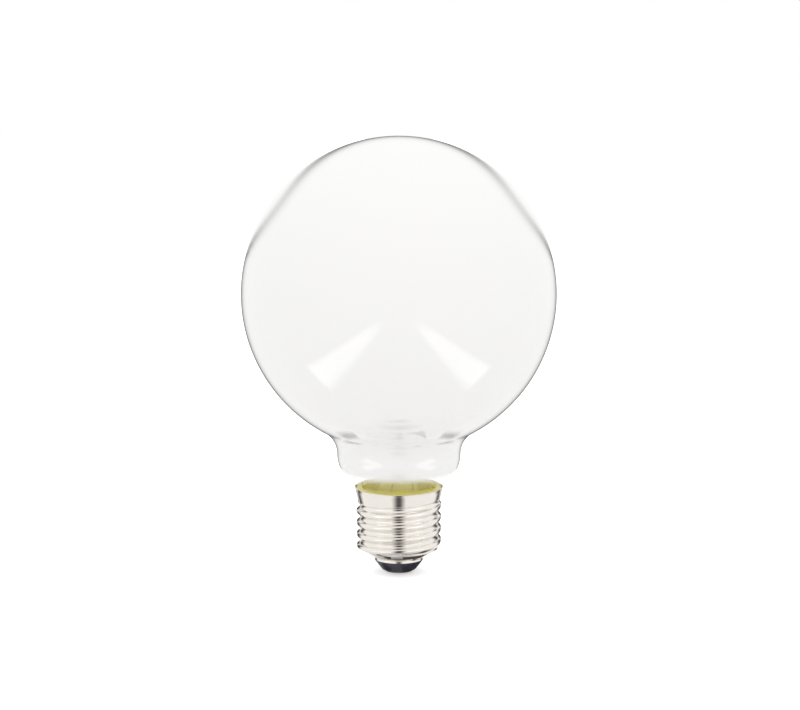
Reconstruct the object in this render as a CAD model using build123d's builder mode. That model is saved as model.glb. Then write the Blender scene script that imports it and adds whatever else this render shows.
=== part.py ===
from build123d import *
from math import asin, atan2, cos, degrees, sin, sqrt
import os

# An opal filament globe bulb with an E27 screw cap, in millimetres, standing on its cap.
# The origin is the bottom of the centre contact, and +Z runs up the bulb's axis to the globe.

# Blown glass envelope
globe_diameter = 95.0
glass_wall = 0.8
waist_diameter = 37.6
waist_fold_radius = 8.68
waist_above_rim = 10.2
bowl_radius = 10.0
neck_end_diameter = 22.4
neck_fold_radius = 1.6
neck_insertion = 6.2

# Sheet shell of the screw cap, measured on its outer face
sheet_wall = 0.3
cap_height = 26.8
rim_diameter = 27.1
rim_flare_height = 0.8
skirt_top_diameter = 26.5
skirt_end_diameter = 24.9
skirt_length = 4.4
skirt_shoulder_height = 0.8
cone_top_height = 8.3
cone_end_height = 5.0
cone_end_diameter = 15.2
lip_diameter = 15.4
lip_height = 4.4

# Rolled Edison thread, 7 turns to the inch, its wave made of tangent arcs
thread_diameter = 26.1
thread_pitch = 3.629
thread_arc_radius = 1.025
land_width = 0.4
thread_overlap = 0.2
thread_start_angle = -90
run_out_angle = 60
run_out_spread = 0.55

# Insulator and centre contact
insulator_diameter = 14.8
insulator_side_height = 0.5
insulator_foot_diameter = 10.2
insulator_foot_height = 0.9
insulator_foot_radius = 1.1
insulator_depth_in_shell = 2.1
wire_well_diameter = 3.2
plate_diameter = 8.8
plate_thickness = 0.7
plate_recess = 0.35
plate_edge = 0.15
pin_head_diameter = 4.4
pin_flat_diameter = 2.4
pin_head_edge = 0.2
pin_shank_diameter = 1.8
pin_shank_top = 4.6

# Cement between the neck and the shell
cement_depth = 2.2
cement_below_rim = 0.25

# Glass stem and exhaust tube
stem_tube_diameter = 10.4
stem_wall = 0.9
flare_radius = 14.0
stem_tube_height = 19.4
press_width = 10.6
press_thickness = 3.8
press_corner_radius = 1.4
press_taper_height = 6.0
press_straight_height = 3.5
post_diameter = 3.2
bead_diameter = 5.4
exhaust_diameter = 4.6
exhaust_bore = 3.0
exhaust_tip_height = 13.6

# Filaments: phosphor-coated strips with a welded metal tab at each end
filament_angles = (45, 135, 225, 315)
filament_length = 38.0
filament_middle_below_globe = 6.0
filament_foot_circle = 15.0
filament_head_circle = 19.0
phosphor_end_gap = 3.0
phosphor_width = 2.0
phosphor_thickness = 1.5
substrate_end_gap = 1.0
substrate_width = 1.0
substrate_thickness = 0.4
tab_length = 2.9
tab_width = 0.9
tab_thickness = 0.2

# Wires
wire_diameter = 0.6
lead_step_height = 3.0
lead_sway = (-1.4, -3.2)
lead_sway_height = 9.5
weld_length = 0.9
weld_gap = 0.02
link_overrun = 2.0
link_apex_offset = 0.9
lead_press_offset = 3.1
left_pad_offset = 3.7
right_pad_offset = 4.6

# Driver in the cap
board_diameter = 20.0
board_thickness = 1.0
seat_gap = 0.03
capacitor_diameter = 6.3
capacitor_height = 9.0
capacitor_chamfer = 0.5
capacitor_place = (0, 6.2)
inductor_diameter = 5.0
inductor_height = 5.2
inductor_flange = 0.8
inductor_waist_diameter = 4.0
inductor_place = (0, -6.6)
fuse_diameter = 2.4
fuse_length = 5.5
fuse_lead_span = 7.6
fuse_lead_diameter = 0.5
fuse_place = (7.3, 0)
rectifier_size = (3.8, 4.7, 1.5)
rectifier_leg_reach = 0.9
rectifier_leg_spacing = 2.5
rectifier_place = (-6.7, 0)
chip_size = (2.9, 1.6, 1.1)
chip_leg_reach = 0.6
chip_leg_pitch = 0.95
chip_place = (5.0, -6.2)
smd_leg_thickness = 0.25
smd_leg_width = 0.45
smd_standoff = 0.1
resistor_size = (2.0, 1.25, 0.6)
resistor_places = ((5.3, 6.0), (-5.3, 6.0))
neutral_place = (-5.6, -6.2)
neutral_step_height = 2.8
neutral_top_below_seal = 2.2
solder_diameter = 1.7
solder_height = 0.5

# Heights and radii that follow from the sizes above
globe_radius = globe_diameter / 2
waist_radius = waist_diameter / 2
waist_height = cap_height + waist_above_rim
neck_end_radius = neck_end_diameter / 2
seal_height = cap_height - neck_insertion
shell_radius = thread_diameter / 2
skirt_end_height = cap_height - skirt_length
skirt_top_height = cap_height - rim_flare_height
cone_end_radius = cone_end_diameter / 2
wire_radius = wire_diameter / 2

# The waist's fold is tangent to the globe and stands upright at the waist
waist_fold_reach = waist_radius + waist_fold_radius
waist_drop = sqrt((globe_radius + waist_fold_radius) ** 2 - waist_fold_reach**2)
globe_turn = degrees(atan2(waist_drop, waist_fold_reach))
globe_height = waist_height + waist_drop
bulb_length = globe_height + globe_radius

# The fold under the bowl is tangent to the bowl and to the straight neck end
bowl_centre_radius = waist_radius - bowl_radius
neck_fold_reach = neck_end_radius + neck_fold_radius
neck_fold_drop = sqrt((bowl_radius + neck_fold_radius) ** 2 - (neck_fold_reach - bowl_centre_radius) ** 2)
neck_fold_height = waist_height - neck_fold_drop
bowl_turn = degrees(atan2(neck_fold_drop, neck_fold_reach - bowl_centre_radius))


def draw_envelope(inset):
    """Draws half of the envelope's outline, moved inwards by inset and closed along the axis."""
    end_radius = neck_end_radius - inset
    CenterArc((0, globe_height), globe_radius - inset, 90, -90 - globe_turn)
    CenterArc((waist_fold_reach, waist_height), waist_fold_radius + inset, 180 - globe_turn, globe_turn)
    CenterArc((bowl_centre_radius, waist_height), bowl_radius - inset, 0, -bowl_turn)
    CenterArc((neck_fold_reach, neck_fold_height), neck_fold_radius + inset, 180 - bowl_turn, bowl_turn)
    Polyline(
        (end_radius, neck_fold_height),
        (end_radius, seal_height),
        (0, seal_height),
        (0, bulb_length - inset),
    )


# The envelope as if it were solid, which the cement is fitted round
with BuildPart() as envelope_form:
    with BuildSketch(Plane.XZ):
        with BuildLine():
            draw_envelope(0)
        make_face()
    revolve(axis=Axis.Z)

with BuildPart() as glass_globe:
    add(envelope_form.part)
    with BuildSketch(Plane.XZ):
        with BuildLine():
            draw_envelope(glass_wall)
        make_face()
    revolve(axis=Axis.Z, mode=Mode.SUBTRACT)
glass_globe.part.label = "glass_globe"

# The shell's outer face before its thread is rolled, from the lip up to the rim
cone_slope = (shell_radius - cone_end_radius) / (cone_top_height - cone_end_height)
shell_outline = (
    (lip_diameter / 2, lip_height),
    (cone_end_radius, cone_end_height),
    (shell_radius, cone_top_height),
    (shell_radius, skirt_end_height - skirt_shoulder_height),
    (skirt_end_diameter / 2, skirt_end_height),
    (skirt_top_diameter / 2, skirt_top_height),
    (rim_diameter / 2, cap_height),
)
with BuildPart() as shell_form:
    with BuildSketch(Plane.XZ):
        with BuildLine():
            Polyline((0, lip_height), *shell_outline, (0, cap_height), close=True)
        make_face()
    revolve(axis=Axis.Z)

with BuildPart() as drawn_cup:
    with BuildSketch(Plane.XZ):
        with BuildLine():
            Polyline(*shell_outline)
            offset(amount=sheet_wall, side=Side.LEFT, kind=Kind.INTERSECTION)
        make_face()
    revolve(axis=Axis.Z)

with BuildPart() as shell_space:
    add(shell_form.part)
    add(drawn_cup.part, mode=Mode.SUBTRACT)

# One wave of the thread runs from crest to crest, and its arcs meet at half depth
wave_half_angle = asin(thread_pitch / 2 / (2 * thread_arc_radius))
thread_depth = 2 * thread_arc_radius * (1 - cos(wave_half_angle))
thread_root_radius = shell_radius - thread_depth
root_centre = thread_root_radius + thread_arc_radius
crest_centre = shell_radius - thread_arc_radius


def thread_groove(inset, rise, spread):
    """A helical tool with the wave's section, moved into the sheet by inset, from the XZ plane on.

    It is open to the outside, it rises by rise, and its radius grows by spread on the way.
    """
    root_arc = thread_arc_radius + inset
    crest_arc = thread_arc_radius - inset
    land_angle = asin(land_width / 2 / crest_arc)
    middle_angle = (land_angle + wave_half_angle) / 2
    land_x, ridge_x = [crest_centre + crest_arc * cos(angle) for angle in (land_angle, middle_angle)]
    land_y, ridge_y = [thread_pitch / 2 - crest_arc * sin(angle) for angle in (land_angle, middle_angle)]
    flank_x = root_centre - root_arc * cos(wave_half_angle)
    flank_y = root_arc * sin(wave_half_angle)
    back_x = shell_radius + thread_depth
    slope = atan2(spread, rise)
    with BuildPart() as groove:
        with BuildSketch(Plane.XZ):
            with BuildLine():
                ThreePointArc((land_x, -land_y), (ridge_x, -ridge_y), (flank_x, -flank_y))
                ThreePointArc((flank_x, -flank_y), (root_centre - root_arc, 0), (flank_x, flank_y))
                ThreePointArc((flank_x, flank_y), (ridge_x, ridge_y), (land_x, land_y))
                Polyline((land_x, land_y), (back_x, land_y), (back_x, -land_y), (land_x, -land_y))
            make_face()
        with BuildLine() as course:
            Helix(thread_pitch / cos(slope), rise, thread_root_radius, cone_angle=degrees(slope))
        sweep(path=course.line, is_frenet=True)
    return groove.part


# The groove starts in the cone at full depth, and fades out above the skirt's end
thread_low = cone_end_height + (thread_root_radius - cone_end_radius) / cone_slope - thread_overlap
thread_high = skirt_end_height - thread_overlap
thread_rise = thread_high - thread_low
thread_turn = 360 * thread_rise / thread_pitch
run_out_rise = thread_pitch * run_out_angle / 360
blank_top = thread_high + run_out_rise + thread_pitch / 2


def rolled_blank(inset):
    """A round blank with the groove rolled into it, moved into the sheet by inset."""
    with BuildPart() as blank:
        with BuildSketch():
            Circle(shell_radius - inset)
        extrude(amount=blank_top)
        with Locations((0, 0, thread_low)):
            add(thread_groove(inset, thread_rise, 0), mode=Mode.SUBTRACT)
        with Locations((0, 0, thread_high)):
            groove = thread_groove(inset, run_out_rise, run_out_spread)
            add(groove, rotation=(0, 0, thread_turn), mode=Mode.SUBTRACT)
    return blank.part


# The rolled wall is what the outer threaded form holds more than the inner one
with BuildPart() as rolled_core:
    add(rolled_blank(sheet_wall))
    add(shell_space.part, mode=Mode.INTERSECT)

with BuildPart() as plain_collar:
    add(drawn_cup.part)
    add(shell_form.part, mode=Mode.INTERSECT)
    split(bisect_by=Plane.XY.offset(blank_top), keep=Keep.TOP)

with BuildPart() as screw_shell:
    add(rolled_blank(0))
    add(shell_form.part, mode=Mode.INTERSECT)
    add(rolled_core.part, mode=Mode.SUBTRACT)
    add(plain_collar.part)
screw_shell.part = screw_shell.part.rotate(Axis.Z, thread_start_angle)
screw_shell.part.label = "screw_shell"

# The moulded insulator fills the foot of the shell and stands out below its lip
insulator_top = lip_height + insulator_depth_in_shell
with BuildPart() as cap_insulator:
    add(shell_space.part)
    split(bisect_by=Plane.XY.offset(insulator_top), keep=Keep.BOTTOM)
    with BuildSketch(Plane.XZ):
        with BuildLine():
            FilletPolyline(
                (0, insulator_foot_height),
                (insulator_foot_diameter / 2, insulator_foot_height),
                (insulator_diameter / 2, lip_height - insulator_side_height),
                radius=insulator_foot_radius,
            )
            Polyline(
                (insulator_diameter / 2, lip_height - insulator_side_height),
                (insulator_diameter / 2, lip_height),
                (0, lip_height),
                (0, insulator_foot_height),
            )
        make_face()
    revolve(axis=Axis.Z)
    for radius, floor, top in (
        (plate_diameter / 2, insulator_foot_height, insulator_foot_height + plate_recess),
        (pin_shank_diameter / 2, insulator_foot_height, pin_shank_top),
        (wire_well_diameter / 2, pin_shank_top, insulator_top),
    ):
        with BuildSketch(Plane.XY.offset(floor)):
            Circle(radius)
        extrude(amount=top - floor, mode=Mode.SUBTRACT)
cap_insulator.part.label = "cap_insulator"

plate_top = insulator_foot_height + plate_recess
plate_bottom = plate_top - plate_thickness
with BuildPart() as contact_plate:
    with BuildSketch(Plane.XY.offset(plate_bottom)):
        Circle(plate_diameter / 2)
        Circle(pin_shank_diameter / 2, mode=Mode.SUBTRACT)
    extrude(amount=plate_thickness)
    chamfer(edges().group_by(Axis.Z)[0].sort_by(SortBy.LENGTH)[-1], length=plate_edge)
contact_plate.part.label = "contact_plate"

with BuildPart() as contact_pin:
    with BuildSketch(Plane.XZ):
        with BuildLine():
            Polyline(
                (0, 0),
                (pin_flat_diameter / 2, 0),
                (pin_head_diameter / 2, plate_bottom - pin_head_edge),
                (pin_head_diameter / 2, plate_bottom),
                (pin_shank_diameter / 2, plate_bottom),
                (pin_shank_diameter / 2, pin_shank_top),
                (0, pin_shank_top),
                (0, 0),
            )
        make_face()
    revolve(axis=Axis.Z)
contact_pin.part.label = "contact_pin"

# Cement bonds the neck's end into the skirt and shows as a thin line at the rim
cement_top = cap_height - cement_below_rim
with BuildPart() as cap_cement:
    add(shell_space.part)
    with BuildSketch(Plane.XY.offset(cement_top)):
        Circle(rim_diameter)
    extrude(amount=cement_below_rim, mode=Mode.SUBTRACT)
    with BuildSketch(Plane.XY.offset(cement_top - cement_depth)):
        Circle(rim_diameter)
    extrude(amount=-cap_height, mode=Mode.SUBTRACT)
    add(envelope_form.part, mode=Mode.SUBTRACT)
cap_cement.part.label = "cap_cement"


def bent_wire(points):
    """A round wire along straight runs, bent sharply where they meet."""
    with BuildPart() as wire:
        with BuildLine() as route:
            Polyline(*points)
        with BuildSketch(Plane(origin=route.line @ 0, z_dir=route.line % 0)):
            Circle(wire_radius)
        sweep(path=route.line, transition=Transition.RIGHT)
    return wire


# Each filament leans out a little, and its flat tabs face the bulb's left or right
filament_lean = (filament_head_circle - filament_foot_circle) / 2
filament_rise = sqrt(filament_length**2 - filament_lean**2)
filament_foot_height = globe_height - filament_middle_below_globe - filament_rise / 2


def filament_plane(angle):
    """The plane across a filament's foot, its z along the filament and its x to the outside."""
    foot = Vector(filament_foot_circle / 2, 0, filament_foot_height).rotate(Axis.Z, angle)
    head = Vector(filament_head_circle / 2, 0, filament_foot_height + filament_rise).rotate(Axis.Z, angle)
    outward = Vector(1 if foot.X > 0 else -1, 0, 0)
    along = head - foot
    return Plane(origin=foot, x_dir=outward - along * (outward.dot(along) / along.dot(along)), z_dir=along)


filament_planes = [filament_plane(angle) for angle in filament_angles]

led_filaments = []
for place, plane in enumerate(filament_planes, 1):
    with BuildPart() as led_filament:
        with BuildSketch(plane.offset(phosphor_end_gap)):
            SlotOverall(phosphor_width, phosphor_thickness, rotation=90)
        extrude(amount=filament_length - 2 * phosphor_end_gap)
        with BuildSketch(plane.offset(substrate_end_gap)):
            Rectangle(substrate_thickness, substrate_width)
        extrude(amount=filament_length - 2 * substrate_end_gap)
    led_filament.part.label = f"led_filament_{place}"
    led_filaments.append(led_filament)

with BuildPart() as filament_end_tabs:
    for plane in filament_planes:
        for start in (0, filament_length - tab_length):
            with BuildSketch(plane.offset(start)):
                with Locations(((substrate_thickness + tab_thickness) / 2, 0)):
                    Rectangle(tab_thickness, tab_width)
            extrude(amount=tab_length)
filament_end_tabs.part.label = "filament_end_tabs"

# The wires lie against the inner faces of the tabs and are welded there
weld_offset = substrate_thickness / 2 - wire_radius - weld_gap


def weld_points(plane, end, corner):
    """The end of a welded wire and its first corner, by their heights along the filament."""
    return [plane.from_local_coords((weld_offset, 0, height)) for height in (end, corner)]


right_back, left_back, left_front, right_front = filament_planes
lower_ends = (weld_length, -link_overrun)
upper_ends = (filament_length - weld_length, filament_length + link_overrun)


def lower_bus(front, back, label):
    """The wire that carries the feet of the front and back filaments on one side."""
    points = weld_points(front, *lower_ends) + weld_points(back, *lower_ends)[::-1]
    wire = bent_wire(points)
    wire.part.label = label
    return wire


def upper_link(left, right, apex_y, label):
    """The wire that joins two filament heads, held by the post's bead at its middle."""
    left_points = weld_points(left, *upper_ends)
    right_points = weld_points(right, *upper_ends)
    apex = Vector(0, apex_y, left_points[1].Z)
    wire = bent_wire(left_points + [apex] + right_points[::-1])
    wire.part.label = label
    return wire


lower_bus_left = lower_bus(left_front, left_back, "lower_bus_left")
lower_bus_right = lower_bus(right_front, right_back, "lower_bus_right")
upper_link_front = upper_link(left_front, right_front, -link_apex_offset, "upper_link_front")
upper_link_back = upper_link(left_back, right_back, link_apex_offset, "upper_link_back")

# The board sits by its rim on the inside of the shell's cone
cone_inner_gap = sheet_wall * sqrt(1 + cone_slope**2)
board_seat = cone_end_height + (board_diameter / 2 + cone_inner_gap - cone_end_radius) / cone_slope
board_bottom = board_seat + seat_gap
board_top = board_bottom + board_thickness

# The stem stands on the neck's end: a flare, a tube, the flat press and the post
press_foot = seal_height + stem_tube_height
press_top = press_foot + press_taper_height + press_straight_height
stem_tube_radius = stem_tube_diameter / 2
flare_reach = stem_tube_radius + flare_radius
seal_inner_radius = neck_end_radius - glass_wall
flare_top = seal_height + sqrt(flare_radius**2 - (flare_reach - seal_inner_radius) ** 2)
flare_inner_radius = flare_radius + stem_wall
flare_foot = flare_top - sqrt(flare_inner_radius**2 - (flare_reach - neck_end_radius) ** 2)
bus_corner = weld_points(right_front, *lower_ends)[1]
bead_height = weld_points(right_front, *upper_ends)[1].Z


def flare_point(radius, arc_radius):
    """The point of the flare's arc that lies this far from the bulb's axis."""
    return (radius, flare_top - sqrt(arc_radius**2 - (flare_reach - radius) ** 2))


def lead_wire(side, foot, label):
    """A lead from its foot on the board through the stem's press to the middle of its bus wire."""
    free_height = bus_corner.Z - press_top
    points = foot + [
        (side * lead_press_offset, 0, press_foot - lead_step_height),
        (side * lead_press_offset, 0, press_top + free_height / 3),
        (side * abs(bus_corner.X), 0, press_top + free_height * 2 / 3),
        (side * abs(bus_corner.X), 0, bus_corner.Z - wire_radius),
    ]
    wire = bent_wire(points)
    wire.part.label = label
    return wire


# The left lead sways in front of the exhaust tube, and the right one stands nearly straight
left_foot = [
    (-left_pad_offset, 0, board_bottom),
    (-left_pad_offset, 0, seal_height),
    (*lead_sway, seal_height + lead_sway_height),
]
right_foot = [
    (right_pad_offset, 0, board_bottom),
    (right_pad_offset, 0, seal_height + lead_step_height),
]
lead_wire_left = lead_wire(-1, left_foot, "lead_wire_left")
lead_wire_right = lead_wire(1, right_foot, "lead_wire_right")

with BuildPart() as glass_stem:
    with BuildSketch(Plane.XZ):
        with BuildLine():
            middle = (stem_tube_radius + seal_inner_radius) / 2
            inner_middle = (stem_tube_radius - stem_wall + neck_end_radius) / 2
            Polyline(
                (0, press_foot),
                (0, press_foot + stem_wall),
                (stem_tube_radius, press_foot + stem_wall),
                (stem_tube_radius, flare_top),
            )
            ThreePointArc(
                (stem_tube_radius, flare_top),
                flare_point(middle, flare_radius),
                (seal_inner_radius, seal_height),
            )
            Polyline(
                (seal_inner_radius, seal_height),
                (neck_end_radius, seal_height),
                (neck_end_radius, flare_foot),
            )
            ThreePointArc(
                (neck_end_radius, flare_foot),
                flare_point(inner_middle, flare_inner_radius),
                (stem_tube_radius - stem_wall, flare_top),
            )
            Polyline(
                (stem_tube_radius - stem_wall, flare_top),
                (stem_tube_radius - stem_wall, press_foot),
                (0, press_foot),
            )
        make_face()
    revolve(axis=Axis.Z)
    with BuildSketch(Plane.XY.offset(press_foot + stem_wall)):
        Circle(stem_tube_radius)
    with BuildSketch(Plane.XY.offset(press_foot + press_taper_height)):
        RectangleRounded(press_width, press_thickness, press_corner_radius)
    loft()
    with BuildSketch(Plane.XY.offset(press_foot + press_taper_height)):
        RectangleRounded(press_width, press_thickness, press_corner_radius)
    extrude(amount=press_straight_height)
    with BuildSketch(Plane.XY.offset(press_top)):
        Circle(post_diameter / 2)
    extrude(amount=bead_height - press_top)
    with BuildSketch(Plane.XZ):
        with BuildLine():
            CenterArc((0, bead_height), bead_diameter / 2, -90, 180)
            Line((0, bead_height + bead_diameter / 2), (0, bead_height - bead_diameter / 2))
        make_face()
    revolve(axis=Axis.Z)
    for wire in (lead_wire_left, lead_wire_right, upper_link_front, upper_link_back):
        add(wire.part, mode=Mode.SUBTRACT)
glass_stem.part.label = "glass_stem"

# The exhaust tube hangs from the press and is tipped off above the board
with BuildPart() as exhaust_tube:
    with BuildSketch(Plane.XZ):
        with BuildLine():
            tip_radius = exhaust_diameter / 2
            bore_radius = exhaust_bore / 2
            CenterArc((0, exhaust_tip_height + tip_radius), tip_radius, -90, 90)
            Polyline(
                (tip_radius, exhaust_tip_height + tip_radius),
                (tip_radius, press_foot),
                (bore_radius, press_foot),
                (bore_radius, exhaust_tip_height + tip_radius),
            )
            CenterArc((0, exhaust_tip_height + tip_radius), bore_radius, 0, -90)
            Line((0, exhaust_tip_height + tip_radius - bore_radius), (0, exhaust_tip_height))
        make_face()
    revolve(axis=Axis.Z)
exhaust_tube.part.label = "exhaust_tube"

# Wires in the cap
with BuildPart() as live_wire:
    with BuildSketch(Plane.XY.offset(pin_shank_top)):
        Circle(wire_radius)
    extrude(amount=board_top - pin_shank_top)
live_wire.part.label = "live_wire"

neutral_reach = thread_root_radius - sheet_wall - seat_gap - wire_radius
neutral_start = Vector(*neutral_place, 0)
neutral_end = neutral_start.normalized() * neutral_reach
neutral_wire = bent_wire(
    (
        neutral_start + Vector(0, 0, board_bottom),
        neutral_start + Vector(0, 0, board_top + neutral_step_height),
        neutral_end + Vector(0, 0, board_top + 2 * neutral_step_height),
        neutral_end + Vector(0, 0, seal_height - neutral_top_below_seal),
    )
)
neutral_wire.part.label = "neutral_wire"

# The round board and what is soldered to it
wire_places = ((-left_pad_offset, 0), (right_pad_offset, 0), (0, 0), neutral_place)
with BuildPart() as driver_board:
    with BuildSketch(Plane.XY.offset(board_bottom)):
        Circle(board_diameter / 2)
        with Locations(*wire_places):
            Circle(wire_radius, mode=Mode.SUBTRACT)
    extrude(amount=board_thickness)
driver_board.part.label = "driver_board"

with BuildPart() as solder_joints:
    for place in wire_places:
        with BuildSketch(Plane.XY.offset(board_top)):
            with Locations(place):
                Circle(solder_diameter / 2)
                Circle(wire_radius, mode=Mode.SUBTRACT)
        extrude(amount=solder_height)
solder_joints.part.label = "solder_joints"

with BuildPart() as bulk_capacitor:
    with BuildSketch(Plane.XY.offset(board_top)):
        with Locations(capacitor_place):
            Circle(capacitor_diameter / 2)
    extrude(amount=capacitor_height)
    chamfer(edges().group_by(Axis.Z)[-1], length=capacitor_chamfer)
bulk_capacitor.part.label = "bulk_capacitor"

with BuildPart() as driver_inductor:
    with BuildSketch(Plane.XY.offset(board_top)):
        with Locations(inductor_place):
            Circle(inductor_diameter / 2)
    extrude(amount=inductor_height)
    with BuildSketch(Plane.XY.offset(board_top + inductor_flange)):
        with Locations(inductor_place):
            Circle(inductor_diameter / 2)
            Circle(inductor_waist_diameter / 2, mode=Mode.SUBTRACT)
    extrude(amount=inductor_height - 2 * inductor_flange, mode=Mode.SUBTRACT)
driver_inductor.part.label = "driver_inductor"

fuse_axis_height = board_top + fuse_diameter / 2
with BuildPart() as fuse_resistor:
    with BuildSketch(Plane(origin=(*fuse_place, fuse_axis_height), z_dir=(0, 1, 0))):
        Circle(fuse_diameter / 2)
    extrude(amount=fuse_length / 2, both=True)
    with BuildSketch(Plane(origin=(*fuse_place, fuse_axis_height), z_dir=(0, 1, 0))):
        Circle(fuse_lead_diameter / 2)
    extrude(amount=fuse_lead_span / 2, both=True)
    with BuildSketch(Plane.XY.offset(board_top)):
        with GridLocations(0, fuse_lead_span - fuse_lead_diameter, 1, 2):
            with Locations(fuse_place):
                Rectangle(fuse_lead_diameter, fuse_lead_diameter)
    extrude(amount=(fuse_diameter + fuse_lead_diameter) / 2)
fuse_resistor.part.label = "fuse_resistor"


def surface_package(place, size, leg_reach, leg_places, label):
    """A moulded package just off the board, with gull-wing legs along its front and back."""
    with BuildPart() as package:
        with BuildSketch(Plane.XY.offset(board_top + smd_standoff)):
            with Locations(place):
                Rectangle(size[0], size[1])
        extrude(amount=size[2] - smd_standoff)
        with BuildSketch(Plane.XY.offset(board_top)):
            for offset_x in leg_places:
                with Locations((place[0] + offset_x, place[1])):
                    Rectangle(smd_leg_width, size[1] + 2 * leg_reach)
            with Locations(place):
                Rectangle(size[0], size[1] - smd_leg_width, mode=Mode.SUBTRACT)
        extrude(amount=smd_leg_thickness)
    package.part.label = label
    return package


bridge_rectifier = surface_package(
    rectifier_place,
    rectifier_size,
    rectifier_leg_reach,
    (-rectifier_leg_spacing / 2, rectifier_leg_spacing / 2),
    "bridge_rectifier",
)
driver_chip = surface_package(
    chip_place,
    chip_size,
    chip_leg_reach,
    (-chip_leg_pitch, 0, chip_leg_pitch),
    "driver_chip",
)

with BuildPart() as sense_resistors:
    with BuildSketch(Plane.XY.offset(board_top)):
        with Locations(*resistor_places):
            Rectangle(resistor_size[0], resistor_size[1])
    extrude(amount=resistor_size[2])
sense_resistors.part.label = "sense_resistors"

os.makedirs("parts", exist_ok=True)
pieces = [
    glass_globe,
    glass_stem,
    exhaust_tube,
    lead_wire_left,
    lead_wire_right,
    lower_bus_left,
    lower_bus_right,
    upper_link_front,
    upper_link_back,
    *led_filaments,
    filament_end_tabs,
    screw_shell,
    cap_insulator,
    contact_plate,
    contact_pin,
    cap_cement,
    driver_board,
    bridge_rectifier,
    bulk_capacitor,
    driver_inductor,
    driver_chip,
    fuse_resistor,
    sense_resistors,
    live_wire,
    neutral_wire,
    solder_joints,
]
for piece in pieces:
    export_step(piece.part, f"parts/{piece.part.label}.step")
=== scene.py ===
# %% [markdown]
# # An opal globe bulb, built in cells
#
# This script dresses a light bulb whose solids were already modelled in a CAD program.
# The bulb is a large white glass globe on a nickel-plated Edison screw cap.
# Each cell makes one piece or one finish, and says why it's made that way.
#
# The first cell loads the CAD solids. All of them are in metres, in one shared frame:
# the origin is the bottom of the centre contact, and Z runs up the bulb's axis.

# %% Load the frame
from math import asin, atan2, cos, degrees, exp, pi, radians, sin, sqrt

import bmesh
import bpy
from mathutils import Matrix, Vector


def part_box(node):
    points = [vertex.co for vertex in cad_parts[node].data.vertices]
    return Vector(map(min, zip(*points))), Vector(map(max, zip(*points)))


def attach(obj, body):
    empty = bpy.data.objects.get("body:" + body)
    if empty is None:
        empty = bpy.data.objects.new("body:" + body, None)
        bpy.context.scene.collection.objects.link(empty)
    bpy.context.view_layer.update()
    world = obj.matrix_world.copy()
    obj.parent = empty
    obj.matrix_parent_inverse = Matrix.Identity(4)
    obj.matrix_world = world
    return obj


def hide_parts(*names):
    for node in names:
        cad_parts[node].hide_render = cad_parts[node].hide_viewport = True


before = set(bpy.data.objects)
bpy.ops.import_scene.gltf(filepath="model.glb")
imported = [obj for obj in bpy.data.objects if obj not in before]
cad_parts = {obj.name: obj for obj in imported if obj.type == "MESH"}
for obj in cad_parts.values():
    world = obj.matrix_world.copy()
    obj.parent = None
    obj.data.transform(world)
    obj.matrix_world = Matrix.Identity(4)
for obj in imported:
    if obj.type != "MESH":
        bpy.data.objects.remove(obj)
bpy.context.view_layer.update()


# %% [markdown]
# ## Sizes
#
# The visible pieces are made again here with finer meshes, so they repeat the real sizes.
# Everything is written in millimetres and multiplied by `MM`, because Blender works in metres.
# The globe's and the cap's outer sizes come from the CAD boxes, so the two models can't drift
# apart.

# %% Read the main sizes from the frame
MM = 0.001
scene = bpy.context.scene


def top_of(node):
    """Height of a CAD node's highest point, in metres."""
    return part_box(node)[1][2]


def radius_of(node):
    """Largest radius of a round CAD node, in metres."""
    low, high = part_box(node)
    return (high[0] - low[0]) / 2


globe_radius = radius_of("glass_globe")
bulb_length = top_of("glass_globe")
globe_height = bulb_length - globe_radius
rim_radius = radius_of("screw_shell")
cap_height = top_of("screw_shell")
print("Globe radius:", round(globe_radius / MM, 2), "mm")
print("Cap height:", round(cap_height / MM, 2), "mm")

# %% [markdown]
# ## A helper for finishes
#
# Most finishes are one Principled BSDF shader with a few sockets changed.
# The first helper sets plain values on the sockets themselves, which keeps each material easy to
# read and lets it survive an export to other programs. No real surface is perfectly even, so the
# second one varies the roughness by noise in Object coordinates and can add a fine relief.

# %% Make a finish
def finish(name, color, roughness, **sockets):
    """A Principled material. Extra sockets are given by name, with underscores for spaces."""
    material = bpy.data.materials.new(name)
    material.use_nodes = True
    shader = material.node_tree.nodes["Principled BSDF"]
    shader.inputs["Base Color"].default_value = (*color, 1)
    shader.inputs["Roughness"].default_value = roughness
    for socket, value in sockets.items():
        shader.inputs[socket.replace("_", " ")].default_value = value
    return material


noise_low = 0.3
noise_high = 0.7


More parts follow.
